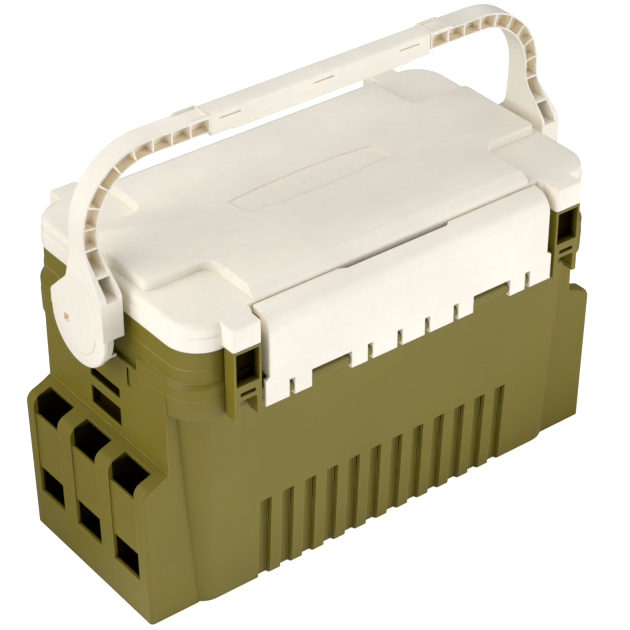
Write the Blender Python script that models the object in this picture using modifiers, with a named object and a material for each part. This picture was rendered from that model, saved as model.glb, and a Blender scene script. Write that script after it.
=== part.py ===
"""Fishing tackle box with a carrying handle, a hinged lid, a front latch flap and end tool racks.

Metres, +Z up. The origin is the middle of the base; X runs along the box, the front faces -Y.
"""
import math

import bmesh
import bpy
from mathutils import Matrix, Vector

# ---------------------------------------------------------------- driving dimensions (metres)
LENGTH = 0.434            # over the two end racks
WIDTH = 0.233             # over the corner sockets
LID_TOP = 0.271
GAP = 0.0003              # between neighbouring pieces
WALL = 0.0026             # lid and flap wall
ARC_STEPS = 5             # segments in a quarter circle of a rounded corner

# tub: (height, half length, half width, corner radius), outside from the base up
BASE_RING = (0.0, 0.1768, 0.0826, 0.018)
FOOT_RING = (0.002, 0.1787, 0.0845, 0.020)
BODY_TOP_RING = (0.185, 0.1860, 0.0935, 0.022)
BELT_RING = (0.185, 0.1933, 0.1040, 0.029)
BELT_TOP_RING = (0.212, 0.1936, 0.1043, 0.029)
SHELF_RING = (0.215, 0.1900, 0.1017, 0.0265)
NECK_RING = (0.241, 0.1890, 0.1010, 0.0260)
RIM_RING = (0.241, 0.1862, 0.1002, 0.0245)
RIM_TOP = 0.247
FLOOR_TOP = 0.003
LEDGE = 0.188             # the tray's rim rests here
INNER_FLOOR_RING = (FLOOR_TOP, 0.1755, 0.0813, 0.017)
INNER_BODY_RING = (BODY_TOP_RING[0], 0.1829, 0.0904, 0.0195)
INNER_LEDGE_RING = (LEDGE, 0.1830, 0.0905, 0.0195)
INNER_BELT_RING = (LEDGE, 0.1836, 0.0970, 0.0215)
INNER_TOP_RING = (RIM_TOP, 0.1834, 0.0967, 0.0213)

GROOVES = 12
GROOVE_PITCH = 0.02095
GROOVE_WIDTH = 0.0117
GROOVE_TOP = 0.078
GROOVE_FLOOR = (0.0800, 0.0822)      # distance from the middle at the base and at the top

# end racks
RACK_HALF_WIDTH = 0.0787
RACK_WALL_X = 0.1938
RACK_FOOT_X = 0.2148
RACK_SLOPE_INNER_Z = 0.1317
RACK_SLOPE_OUTER_Z = 0.1235
RACK_SHOULDER = 0.010
SHOULDER_TRIM = 0.00013   # how much the rounded shoulder takes off its corner's reach
BAY_PITCH = 0.0505
BAY_WIDTH = 0.0335
BAY_WALL = 0.0025
BAY_OPENING_X = 0.2000
PANEL_LIP_Z = 0.1095
WINDOW_Z = (0.0355, 0.0600)
STRAP_HALF_WIDTH = 0.0195
STRAP_Z = ((0.139, 0.156), (0.164, 0.1735))

# corner accessory sockets
SOCKET_X = (0.1376, 0.1609)
SOCKET_Z = (0.185, 0.244)
REAR_SOCKET_TOP = 0.2395
CROSSBAR_Z = 0.2016
SOCKET_WINDOW_Z = (0.2143, 0.2415)

# lid
LID_SKIRT_Z = 0.242
LID_HALF = (0.1895, 0.1035)
LID_CORNER = 0.0275
LID_LOW_TOP = 0.263
POCKET_Z = {"front": 0.2390, "rear": 0.2545}     # the lid's skirt is cut away behind the flap
POCKET_HALF_X = 0.1366
PLATFORM_HALF = (0.127, 0.096)
PLATFORM_FILLET = 0.012
PLATFORM_END = (0.181, 0.041)
EAR_X = (0.1370, 0.1615)
EAR_Z = 0.2444

# front flap and its hinge
FLAP_HALF_X = 0.1342
FLAP_END_STEP = 0.0036    # how far the flap's ends stand back above its straight lower sheet
FLAP_STEP_Z = (0.2085, 0.2122)
FLAP_FACE_Y = -0.1162
FLAP_FOOT_Z = 0.1867
FLAP_TOP = (-0.0975, 0.2622)
FLAP_ROUND = 0.016
FLAP_PIN = (-0.1105, 0.1925)
KNUCKLE_R = 0.0046
PIN_R = 0.0015
BORE_R = 0.0019
NARROW_KNUCKLES = (0.0130, 0.0405, 0.1110)
WIDE_KNUCKLE = 0.0755
NARROW_WIDTH = 0.0049
WIDE_WIDTH = 0.0362
NOTCH_TOP = 0.2018
FINGER_RECESS = (-0.0545, 0.0545)

# rear hinge
LID_PIN = (0.1130, 0.2435)
LID_KNUCKLE_R = 0.0034
LID_KNUCKLES = 4
LID_KNUCKLE_PITCH = 0.062
LID_KNUCKLE_WIDTH = 0.030

# handle
PIVOT_Z = 0.228
DISC_R = 0.034
ARM_FACE_X = 0.2135
ARM_TOP = 0.362
ARM_THICK = 0.012
ARM_BORDER = 0.0018       # the raised border round the end next to the grip
ARM_HALF_Y = 0.0095
ARM_OUTER_X = 0.210
GRIP_HALF_X = 0.100
GRIP_BOTTOM = 0.3415
GRIP_SPLIT = 0.352
ARM_CELLS = 11
CELL_PITCH = 0.0158
RIB = 0.0016
BOSS_R = 0.007
BOSS_TIP_X = 0.2078
CLIP_R = 0.0326
STOP_LOW = (-0.0228, 0.2058)         # (y, z) corners of the clip's stop finger
STOP_HIGH = (-0.0203, 0.2078)

# inside
TRAY_FLOOR = 0.150
TRAY_HALF = ((0.1765, 0.0835), (0.1785, 0.0855))   # at the floor and at the rim
TRAY_RIM_HALF = (0.1815, 0.0950)
TRAY_WALL = 0.002
DIVIDER_X = (-0.088, 0.0, 0.088)
PARTITION_X = 0.062


# ---------------------------------------------------------------- scene and materials
def clear_scene():
    for obj in list(bpy.data.objects):
        bpy.data.objects.remove(obj, do_unlink=True)


def collection(name):
    made = bpy.data.collections.new(name)
    bpy.context.scene.collection.children.link(made)
    return made


def material(name, colour, roughness, metallic=0.0):
    made = bpy.data.materials.new(name)
    made.use_nodes = True
    shader = made.node_tree.nodes["Principled BSDF"]
    shader.inputs["Base Color"].default_value = (*colour, 1.0)
    shader.inputs["Roughness"].default_value = roughness
    shader.inputs["Metallic"].default_value = metallic
    return made


clear_scene()
PARTS = collection("tackle_box")
CUTTERS = collection("cutters")
OLIVE = material("olive_plastic", (0.24, 0.20, 0.045), 0.42)
CREAM = material("cream_plastic", (0.86, 0.82, 0.70), 0.38)
SMOKE = material("tray_plastic", (0.55, 0.55, 0.50), 0.35)
STEEL = material("hinge_steel", (0.62, 0.62, 0.60), 0.28, 1.0)


# ---------------------------------------------------------------- modelling helpers
def place(name, mesh, mat=None):
    """Link a mesh as a part, or as a hidden cutter when it has no material."""
    obj = bpy.data.objects.new(name, mesh)
    if mat is None:
        CUTTERS.objects.link(obj)
        obj.hide_render = True
        obj.display_type = "WIRE"
    else:
        PARTS.objects.link(obj)
        mesh.materials.append(mat)
    return obj


def block(name, low, high, mat=None):
    size = Vector(high) - Vector(low)
    middle = (Vector(high) + Vector(low)) / 2
    bm = bmesh.new()
    bmesh.ops.create_cube(bm, size=1.0)
    bmesh.ops.scale(bm, vec=size, verts=bm.verts)
    bmesh.ops.translate(bm, vec=middle, verts=bm.verts)
    mesh = bpy.data.meshes.new(name)
    bm.to_mesh(mesh)
    bm.free()
    return place(name, mesh, mat)


def blocks(name, boxes, mat=None):
    """Several boxes that don't touch each other, in one object."""
    bm = bmesh.new()
    for low, high in boxes:
        made = bmesh.ops.create_cube(bm, size=1.0)["verts"]
        bmesh.ops.scale(bm, vec=Vector(high) - Vector(low), verts=made)
        bmesh.ops.translate(bm, vec=(Vector(high) + Vector(low)) / 2, verts=made)
    mesh = bpy.data.meshes.new(name)
    bm.to_mesh(mesh)
    bm.free()
    return place(name, mesh, mat)


def rounded(corners, steps=ARC_STEPS):
    """Outline points from (u, v, radius) corners, each round corner drawn as an arc."""
    points = []
    count = len(corners)
    for i, (u, v, *radius) in enumerate(corners):
        here = Vector((u, v))
        if not radius or radius[0] <= 0:
            points.append(here)
            continue
        before = (Vector(corners[i - 1][:2]) - here).normalized()
        after = (Vector(corners[(i + 1) % count][:2]) - here).normalized()
        half_angle = before.angle(after) / 2
        centre = here + (before + after).normalized() * (radius[0] / math.sin(half_angle))
        reach = radius[0] / math.tan(half_angle)
        first = here + before * reach - centre
        last = here + after * reach - centre
        sweep = first.angle_signed(last)
        turn = -sweep
        pieces = max(2, round(steps * abs(turn) / (math.pi / 2)))
        for step in range(pieces + 1):
            angle = turn * step / pieces
            c, s = math.cos(angle), math.sin(angle)
            points.append(centre + Vector((first.x * c - first.y * s, first.x * s + first.y * c)))
    return points


# where an outline's (u, v) and the extrusion go, for each plane
PLANES = {"XY": lambda u, v, w: (u, v, w), "XZ": lambda u, v, w: (u, w, v), "YZ": lambda u, v, w: (w, u, v)}


def prism(name, corners, plane, low, high, mat=None, steps=ARC_STEPS):
    """A flat outline, drawn as a filled 2D curve, extruded from low to high across its plane."""
    curve = bpy.data.curves.new(name, "CURVE")
    curve.dimensions = "2D"
    curve.fill_mode = "BOTH"
    curve.extrude = (high - low) / 2
    points = rounded(corners, steps)
    spline = curve.splines.new("POLY")
    spline.points.add(len(points) - 1)
    for knot, point in zip(spline.points, points):
        knot.co = (point.x, point.y, 0.0, 1.0)
    spline.use_cyclic_u = True
    holder = bpy.data.objects.new(name, curve)
    PARTS.objects.link(holder)
    bpy.context.view_layer.update()
    mesh = bpy.data.meshes.new_from_object(holder.evaluated_get(bpy.context.evaluated_depsgraph_get()))
    bpy.data.objects.remove(holder, do_unlink=True)
    bm = bmesh.new()
    bm.from_mesh(mesh)
    bmesh.ops.remove_doubles(bm, verts=bm.verts, dist=1e-6)
    bmesh.ops.dissolve_limit(bm, angle_limit=0.001, verts=bm.verts, edges=bm.edges)
    put = PLANES[plane]
    middle = (low + high) / 2
    for vert in bm.verts:
        vert.co = put(vert.co.x, vert.co.y, vert.co.z + middle)
    bmesh.ops.recalc_face_normals(bm, faces=bm.faces)
    if bm.calc_volume(signed=True) < 0:
        bmesh.ops.reverse_faces(bm, faces=bm.faces)
    bm.to_mesh(mesh)
    bm.free()
    mesh.name = name
    mesh.materials.clear()
    return place(name, mesh, mat)


def ring(half_x, half_y, radius, steps=ARC_STEPS):
    """Points of a rounded rectangle about the Z axis."""
    corners = [(half_x, -half_y, radius), (half_x, half_y, radius),
               (-half_x, half_y, radius), (-half_x, -half_y, radius)]
    return rounded(corners, steps)


def loft(name, rings, mat=None, steps=ARC_STEPS, open_middle=False):
    """A skin through rounded rectangles (z, half x, half y, radius), capped at its first and last,
    or with an open middle joined from the last back to the first."""
    bm = bmesh.new()
    loops = []
    for z, half_x, half_y, radius in rings:
        loops.append([bm.verts.new((p.x, p.y, z)) for p in ring(half_x, half_y, radius, steps)])
    pairs = list(zip(loops, loops[1:]))
    if open_middle:
        pairs.append((loops[-1], loops[0]))
    else:
        bm.faces.new(reversed(loops[0]))
        bm.faces.new(loops[-1])
    for lower, upper in pairs:
        for i in range(len(lower)):
            j = (i + 1) % len(lower)
            bm.faces.new((lower[i], lower[j], upper[j], upper[i]))
    bmesh.ops.recalc_face_normals(bm, faces=bm.faces)
    mesh = bpy.data.meshes.new(name)
    bm.to_mesh(mesh)
    bm.free()
    return place(name, mesh, mat)


def rod(name, radius, start, end, segments=16, mat=None):
    """A cylinder between two points."""
    start, end = Vector(start), Vector(end)
    bm = bmesh.new()
    bmesh.ops.create_cone(bm, cap_ends=True, segments=segments, radius1=radius, radius2=radius,
                          depth=(end - start).length)
    turn = Vector((0, 0, 1)).rotation_difference(end - start).to_matrix().to_4x4()
    bmesh.ops.transform(bm, matrix=turn, verts=bm.verts)
    bmesh.ops.translate(bm, vec=(start + end) / 2, verts=bm.verts)
    mesh = bpy.data.meshes.new(name)
    bm.to_mesh(mesh)
    bm.free()
    return place(name, mesh, mat)


def boolean(target, operation, tools):
    for tool in tools:
        step = target.modifiers.new(f"{operation.lower()}_{tool.name}", "BOOLEAN")
        step.operation = operation
        step.solver = "EXACT"
        step.object = tool
    return target


def cut(target, *tools):
    return boolean(target, "DIFFERENCE", tools)


def fuse(target, *tools):
    return boolean(target, "UNION", tools)


def body_half_x(z):
    """Half length of the tub's tapering body at height z."""
    rise = (z - FOOT_RING[0]) / (BODY_TOP_RING[0] - FOOT_RING[0])
    return FOOT_RING[1] + (BODY_TOP_RING[1] - FOOT_RING[1]) * rise


def mirror_x(points, side):
    """The outline on the +X side, or its mirror image when side is -1."""
    if side > 0:
        return points
    return [(-p[0], *p[1:]) for p in reversed(points)]


def span(side, low, high):
    """An X interval on the +X side, or its mirror image."""
    return (low, high) if side > 0 else (-high, -low)


SIDES = (("left", -1), ("right", 1))
ENDS = (("front", -1), ("rear", 1))


# ---------------------------------------------------------------- tub
def knuckle_spans():
    """X intervals of the tub's flap knuckles, clear of the flap's notches."""
    spans = []
    for side in (-1, 1):
        for middle in NARROW_KNUCKLES:
            half = NARROW_WIDTH / 2 - GAP
            spans.append((side * middle - half, side * middle + half))
        half = WIDE_WIDTH / 2 - GAP
        spans.append((side * WIDE_KNUCKLE - half, side * WIDE_KNUCKLE + half))
    return spans


def lid_knuckle_middles():
    first = -LID_KNUCKLE_PITCH * (LID_KNUCKLES - 1) / 2
    return [first + LID_KNUCKLE_PITCH * i for i in range(LID_KNUCKLES)]


def rear_knuckle_spans():
    """X intervals of the tub's lid-hinge knuckles, in the spaces between the lid's."""
    edges = [-FLAP_HALF_X]
    for middle in lid_knuckle_middles():
        edges += [middle - LID_KNUCKLE_WIDTH / 2 - GAP, middle + LID_KNUCKLE_WIDTH / 2 + GAP]
    edges.append(FLAP_HALF_X)
    return list(zip(edges[0::2], edges[1::2]))


def make_tub():
    """The tapering body below the belt, with drainage grooves front and rear."""
    tub = loft("tub", [BASE_RING, FOOT_RING, BODY_TOP_RING, INNER_BODY_RING, INNER_FLOOR_RING], OLIVE)
    half_span = GROOVE_PITCH * (GROOVES - 1) / 2
    for end, facing in ENDS:
        near, far = sorted((facing * 0.0765, facing * 0.0830))
        backing = block(f"{end}_groove_backing", (-half_span - 0.009, near, 0.0015),
                        (half_span + 0.009, far, GROOVE_TOP + 0.004))
        fuse(tub, backing)
        for i in range(GROOVES):
            middle = -half_span + GROOVE_PITCH * i
            outline = [(facing * GROOVE_FLOOR[0], -0.001), (facing * GROOVE_FLOOR[1], GROOVE_TOP),
                       (facing * 0.096, GROOVE_TOP), (facing * 0.096, -0.001)]
            groove = prism(f"{end}_groove_{i + 1}", outline, "YZ",
                           middle - GROOVE_WIDTH / 2, middle + GROOVE_WIDTH / 2)
            cut(tub, groove)
    return tub


def make_belt():
    """The wider band round the top: ledge for the tray, neck for the lid, and both hinges' knuckles."""
    outside = [(BELT_RING[0] + GAP, *BELT_RING[1:]), BELT_TOP_RING, SHELF_RING, NECK_RING,
               RIM_RING, (RIM_TOP, *RIM_RING[1:])]
    inside = [INNER_TOP_RING, INNER_BELT_RING, INNER_LEDGE_RING,
              (INNER_BODY_RING[0] + GAP, *INNER_BODY_RING[1:])]
    belt = loft("tub_belt", outside + inside, OLIVE, open_middle=True)
    for side_name, side in SIDES:
        low, high = span(side, 0.1898, 0.1960)
        cut(belt, block(f"{side_name}_belt_break", (low, -0.042, 0.2022), (high, 0.042, 0.2165)))
    for i, (low, high) in enumerate(knuckle_spans()):
        y, z = FLAP_PIN
        outline = [(-0.1030, z - KNUCKLE_R), (-0.1030, 0.1995),
                   (y - KNUCKLE_R, z + KNUCKLE_R, KNUCKLE_R - 1e-4),
                   (y - KNUCKLE_R, z - KNUCKLE_R, KNUCKLE_R - 1e-4)]
        fuse(belt, prism(f"flap_knuckle_{i + 1}", outline, "YZ", low, high, steps=3))
    for i, (low, high) in enumerate(rear_knuckle_spans()):
        y, z = LID_PIN
        r = LID_KNUCKLE_R
        outline = [(0.1030, 0.2035), (y + r, 0.2130), (y + r, z + r, r - 1e-4), (y - r, z + r, r - 1e-4),
                   (y - r, 0.2185), (0.1030, 0.2115)]
        fuse(belt, prism(f"lid_hinge_knuckle_{i + 1}", outline, "YZ", low, high, steps=3))
    cut(belt, rod("flap_bore", BORE_R, (-0.1346, *FLAP_PIN), (0.1346, *FLAP_PIN), 8))
    cut(belt, rod("lid_bore", BORE_R, (-0.1346, *LID_PIN), (0.1346, *LID_PIN), 8))
    return belt


def make_hinge_pins():
    for name, (y, z) in (("front_hinge_pin", FLAP_PIN), ("rear_hinge_pin", LID_PIN)):
        rod(name, PIN_R, (-0.1338, y, z), (0.1338, y, z), 8, STEEL)


# ---------------------------------------------------------------- end racks
def make_rack(side_name, side):
    inner = GAP + 0.0002
    top = BELT_RING[0] - GAP
    outline = [(body_half_x(0) + inner, 0.0), (RACK_FOOT_X, 0.0),
               (LENGTH / 2 + SHOULDER_TRIM, RACK_SLOPE_OUTER_Z, RACK_SHOULDER),
               (RACK_WALL_X, RACK_SLOPE_INNER_Z), (RACK_WALL_X, top), (body_half_x(top) + inner, top)]
    rack = prism(f"{side_name}_rod_rack", mirror_x(outline, side), "XZ",
                 -RACK_HALF_WIDTH, RACK_HALF_WIDTH, OLIVE)
    for bay in (-1, 0, 1):
        low, high = bay * BAY_PITCH - BAY_WIDTH / 2, bay * BAY_PITCH + BAY_WIDTH / 2
        roof = 0.1262
        shaft = [(body_half_x(0) + BAY_WALL, -0.001), (RACK_FOOT_X - BAY_WALL - 0.0018, -0.001),
                 (0.2126, PANEL_LIP_Z), (0.2200, PANEL_LIP_Z), (0.2200, 0.1400), (BAY_OPENING_X, 0.1400),
                 (BAY_OPENING_X, roof), (body_half_x(roof) + BAY_WALL, roof)]
        cut(rack, prism(f"{side_name}_shaft_{bay + 2}", mirror_x(shaft, side), "XZ", low, high))
        panel = [(0.2145, 0.0300), (0.2200, 0.0290), (0.2200, PANEL_LIP_Z + 0.001), (0.2152, PANEL_LIP_Z + 0.001)]
        cut(rack, prism(f"{side_name}_panel_{bay + 2}", mirror_x(panel, side), "XZ", low, high))
        x_low, x_high = span(side, 0.2100, 0.2200)
        cut(rack, block(f"{side_name}_window_{bay + 2}", (x_low, low + 0.0006, WINDOW_Z[0]),
                        (x_high, high - 0.0006, WINDOW_Z[1])))
    for i, (z_low, z_high) in enumerate(STRAP_Z):
        x_low, x_high = span(side, 0.1885, 0.2000)
        cut(rack, block(f"{side_name}_strap_slot_{i + 1}", (x_low, -STRAP_HALF_WIDTH, z_low),
                        (x_high, STRAP_HALF_WIDTH, z_high)))
    return rack


# ---------------------------------------------------------------- corner sockets
def make_socket(end_name, facing, side_name, side):
    """A post with a window, a slotted crossbar and two legs, which takes a clip-on rod stand."""
    name = f"{end_name}_{side_name}_socket"
    x_low, x_high = span(side, *SOCKET_X)
    top = SOCKET_Z[1] if facing < 0 else REAR_SOCKET_TOP
    back, front = facing * (BELT_TOP_RING[2] + GAP), facing * WIDTH / 2

    def slab(tag, x_inset, near, far, z_low, z_high, mat=None):
        return block(tag, (x_low + x_inset, min(near, far), z_low), (x_high - x_inset, max(near, far), z_high), mat)

    post = slab(name, 0.0, back, front, SOCKET_Z[0], top, OLIVE)
    outside = facing * 0.120
    window = slab(f"{name}_window", 0.0018, facing * 0.1068, outside, SOCKET_WINDOW_Z[0],
                  min(SOCKET_WINDOW_Z[1], top - 0.0025))
    slot = slab(f"{name}_slot", 0.0050, facing * 0.1068, outside, 0.2052, 0.2083)
    legs = slab(f"{name}_leg_gap", 0.0040, facing * 0.1000, outside, 0.1800, CROSSBAR_Z)
    return cut(post, window, slot, legs)


# ---------------------------------------------------------------- lid
def lid_form(name, inset, mat=None):
    """The lid's outer form, or with an inset the hollow under it."""
    half_x, half_y = LID_HALF[0] - inset, LID_HALF[1] - inset
    radius = LID_CORNER - inset
    foot = LID_SKIRT_Z - (0.002 if inset else 0.0)
    low_top = LID_LOW_TOP - inset
    form = loft(name, [(foot, half_x, half_y, radius),
                       (low_top - 0.003, half_x - 0.0003, half_y - 0.0003, radius),
                       (low_top - 0.0008, half_x - 0.0013, half_y - 0.0013, radius - 0.001),
                       (low_top, half_x - 0.0035, half_y - 0.0035, radius - 0.003)], mat)
    for end, facing in ENDS:
        near, far = facing * (PLATFORM_HALF[1] - inset), facing * 0.110
        cut(form, block(f"{name}_{end}_pocket",
                        (-POCKET_HALF_X - inset, min(near, far), POCKET_Z[end] - inset),
                        (POCKET_HALF_X + inset, max(near, far), 0.280)))
    top = LID_TOP - inset
    edge = PLATFORM_HALF[1] - inset
    fillet = PLATFORM_FILLET - inset / 2
    deck = [(-edge, 0.2480), (edge, 0.2480), (edge, top, fillet), (-edge, top, fillet)]
    fuse(form, prism(f"{name}_platform", deck, "YZ", -PLATFORM_HALF[0] + inset, PLATFORM_HALF[0] - inset))
    reach = PLATFORM_END[0] - inset
    wing = [(-reach - 0.003, 0.2480), (reach + 0.003, 0.2480), (reach, top - 0.0006, 0.004),
            (-reach, top - 0.0006, 0.004)]
    fuse(form, prism(f"{name}_wings", wing, "XZ", -PLATFORM_END[1] + inset, PLATFORM_END[1] - inset, steps=3))
    for end, facing in ENDS:
        for side_name, side in SIDES:
            x_low, x_high = span(side, EAR_X[0] + inset, EAR_X[1] - inset)
            foot = EAR_Z - (0.002 if inset else 0.0)
            near, far = facing * 0.0950, facing * (WIDTH / 2 - inset)
            outline = [(x_low, near), (x_low, far, 0.003), (x_high, far, 0.003), (x_high, near)]
            fuse(form, prism(f"{name}_{end}_{side_name}_ear", outline, "XY", foot, low_top, steps=2))
    return form


def make_lid():
    lid = lid_form("lid_shell", 0.0, CREAM)
    cut(lid, lid_form("lid_hollow", WALL))
    rim_half_x = POCKET_HALF_X + WALL + 0.0008
    rim_gap = block("rim_relief", (-rim_half_x, -0.1007, 0.2380), (rim_half_x, -0.0962, RIM_TOP + 0.0008))
    cut(lid, rim_gap)          # the tub's rim passes under the skirt that is cut away behind the flap
    y, z = LID_PIN
    r = LID_KNUCKLE_R
    for i, middle in enumerate(lid_knuckle_middles()):
        outline = [(LID_HALF[1] - 0.0008, 0.2462), (y - r - 0.0012, z + 0.001), (y - r, z - r, r - 1e-4),
                   (y + r, z - r, r - 1e-4), (y + r, z + r, r - 1e-4), (LID_HALF[1] - 0.0008, 0.2535)]
        fuse(lid, prism(f"lid_knuckle_{i + 1}", outline, "YZ", middle - LID_KNUCKLE_WIDTH / 2,
                        middle + LID_KNUCKLE_WIDTH / 2, steps=3))
    cut(lid, rod("lid_knuckle_bore", BORE_R, (-0.1346, y, z), (0.1346, y, z), 8))
    return split_lid(lid)


def split_lid(lid):
    """The ends beyond the latch pocket, each with two ears, are their own pieces."""
    pieces = [lid]
    for side_name, side in SIDES:
        end = lid.copy()
        end.data = lid.data.copy()
        end.name = f"{side_name}_lid_end"
        PARTS.objects.link(end)
        x_low, x_high = span(side, -0.200, POCKET_HALF_X + GAP)
        cut(end, block(f"{side_name}_end_seam", (x_low, -0.130, 0.225), (x_high, 0.130, 0.285)))
        pieces.append(end)
    for side_name, side in SIDES:
        x_low, x_high = span(side, POCKET_HALF_X, 0.200)
        cut(lid, block(f"{side_name}_lid_seam", (x_low, -0.130, 0.225), (x_high, 0.130, 0.285)))
    return pieces


# ---------------------------------------------------------------- front flap
def make_flap():
    """The flap is a bent sheet with a knuckled foot, two end flanges and a finger recess."""
    y_face, (y_top, z_top) = FLAP_FACE_Y, FLAP_TOP
    outer = [(y_face, FLAP_FOOT_Z), (y_face, z_top, FLAP_ROUND), (y_top, z_top),
             (y_top, z_top - WALL), (y_face + WALL, z_top - WALL, FLAP_ROUND - WALL),
             (y_face + WALL, FLAP_FOOT_Z)]
    upper_half = FLAP_HALF_X - FLAP_END_STEP
    flap = prism("front_latch", outer, "YZ", -FLAP_HALF_X, FLAP_HALF_X, CREAM)
    y, z = FLAP_PIN
    r = KNUCKLE_R
    foot = [(y_face + 0.0005, FLAP_FOOT_Z), (y_face + 0.0005, NOTCH_TOP), (y_face + WALL, NOTCH_TOP),
            (y + r, z + r, r - 1e-4), (y + r, z - r, r - 1e-4), (y - r, FLAP_FOOT_Z)]
    fuse(flap, prism("flap_foot", foot, "YZ", -FLAP_HALF_X + 1e-5, FLAP_HALF_X - 1e-5, steps=3))
    for side_name, side in SIDES:
        x_low, x_high = span(side, upper_half - WALL, upper_half - 2e-5)
        flange = [(y_face + 0.001, 0.2085), (-0.1056, 0.2125), (-0.1056, 0.2556), (y_top - 0.0005, 0.2556),
                  (y_top - 0.0005, z_top - 0.001), (y_face + 0.001, z_top - 0.001, FLAP_ROUND - 0.001)]
        fuse(flap, prism(f"flap_{side_name}_flange", flange, "YZ", x_low, x_high))
        step = [(side * upper_half, 0.2750), (side * upper_half, FLAP_STEP_Z[1]),
                (side * (FLAP_HALF_X + 0.0010), FLAP_STEP_Z[0] - 0.0010), (side * (FLAP_HALF_X + 0.0010), 0.2750)]
        cut(flap, prism(f"flap_{side_name}_end_step", step, "XZ", -0.1300, -0.0850))
    notches = []
    for low, high in knuckle_spans():
        notches.append(((low - GAP, -0.1250, 0.1800), (high + GAP, -0.1000, NOTCH_TOP)))
    cut(flap, blocks("flap_notches", notches))
    cut(flap, rod("flap_foot_bore", BORE_R, (-0.1350, y, z), (0.1350, y, z), 8))
    cut(flap, block("finger_recess", (FINGER_RECESS[0], -0.1010, 0.2500), (FINGER_RECESS[1], -0.0900, 0.2700)))
    return flap


# ---------------------------------------------------------------- handle
def make_arm(side_name, side):
    """An arm with a disc root on the pivot, ribbed cells front and back, and a tenon for the grip."""
    root_z = PIVOT_Z + 0.0015
    top, thick = ARM_TOP - ARM_BORDER, ARM_THICK
    sweep = [(0.1960, root_z), (ARM_FACE_X, root_z), (ARM_FACE_X, 0.268, 0.010), (ARM_OUTER_X, 0.288, 0.020),
             (ARM_OUTER_X, top, 0.060), (GRIP_HALF_X + GAP, top), (GRIP_HALF_X + GAP, top - thick),
             (0.1975, top - thick, 0.048), (0.1975, 0.288, 0.020), (0.1960, 0.268, 0.010)]
    arm = prism(f"{side_name}_handle_arm", mirror_x(sweep, side), "XZ", -DISC_R, DISC_R, CREAM)
    widths = [(-DISC_R, 0.2200), (0.0335, 0.2200), (0.0335, 0.2420, 0.008), (ARM_HALF_Y, 0.2650, 0.012),
              (ARM_HALF_Y, 0.3700), (-ARM_HALF_Y, 0.3700), (-ARM_HALF_Y, 0.2900, 0.020), (-DISC_R, 0.2640, 0.010)]
    low, high = span(side, 0.0900, 0.2250)
    boolean(arm, "INTERSECT", [prism(f"{side_name}_arm_width", widths, "YZ", low, high)])
    plate_low, plate_high = span(side, 0.2085, ARM_FACE_X - 1e-5)
    fuse(arm, rod(f"{side_name}_disc", DISC_R - 1e-5, (plate_low, 0, PIVOT_Z), (plate_high, 0, PIVOT_Z), 32))
    x_low, x_high = span(side, 0.0880, 0.1030)
    fuse(arm, block(f"{side_name}_tenon", (x_low, -0.0058, 0.3495), (x_high, 0.0058, 0.3588)))
    border = [(0.1004, 0.3575), (0.1004, ARM_TOP), (0.1190, ARM_TOP, 0.002), (0.1222, 0.3575)]
    half = ARM_HALF_Y - 5e-5
    fuse(arm, prism(f"{side_name}_border", mirror_x(border, side), "XZ", -half, half, steps=2))
    x_low, x_high = span(side, 0.1024, 0.1300)
    cut(arm, block(f"{side_name}_border_inside", (x_low, -0.0077, top - 0.0003), (x_high, 0.0077, 0.3700)))
    cut(arm, *arm_cells(side_name, side))
    bore_low, bore_high = span(side, 0.1900, 0.2082)
    cut(arm, rod(f"{side_name}_arm_bore", BOSS_R + GAP, (bore_low, 0, PIVOT_Z), (bore_high, 0, PIVOT_Z), 16))
    x_low, x_high = span(side, 0.2050, 0.2200)
    return cut(arm, block(f"{side_name}_disc_window", (x_low, 0.0110, 0.2235), (x_high, 0.0175, 0.2295)))


def arm_centre(distance, side):
    """Point and direction on the arm's middle line, from the grip outwards and down."""
    radius = 0.054
    bend_x = ARM_OUTER_X - 0.0060 - radius
    bend_z = ARM_TOP - ARM_BORDER - ARM_THICK / 2 - radius
    flat = bend_x - GRIP_HALF_X
    arc = radius * math.pi / 2
    if distance < flat:
        return Vector((side * (GRIP_HALF_X + distance), bend_z + radius)), 0.0
    if distance < flat + arc:
        angle = (distance - flat) / radius
        point = Vector((side * (bend_x + radius * math.sin(angle)), bend_z + radius * math.cos(angle)))
        return point, angle
    return Vector((side * (bend_x + radius), bend_z - (distance - flat - arc))), math.pi / 2


def arm_cells(side_name, side):
    """Pockets between the arm's ribs, on its front and back faces."""
    cells = []
    first = 0.0035
    for i in range(ARM_CELLS):
        start, end = first + CELL_PITCH * i, first + CELL_PITCH * (i + 1) - RIB
        corners = []
        for distance, offset in ((start, -0.0046), (end, -0.0046), (end, 0.0043), (start, 0.0043)):
            point, angle = arm_centre(distance, side)
            outward = Vector((side * math.sin(angle), math.cos(angle)))
            corners.append(tuple(point + outward * offset))
        for face, (low, high) in (("front", (-0.0400, -0.0014)), ("back", (0.0014, 0.0400))):
            cells.append(prism(f"{side_name}_{face}_cell_{i + 1}", corners, "XZ", low, high))
    return cells


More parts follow.
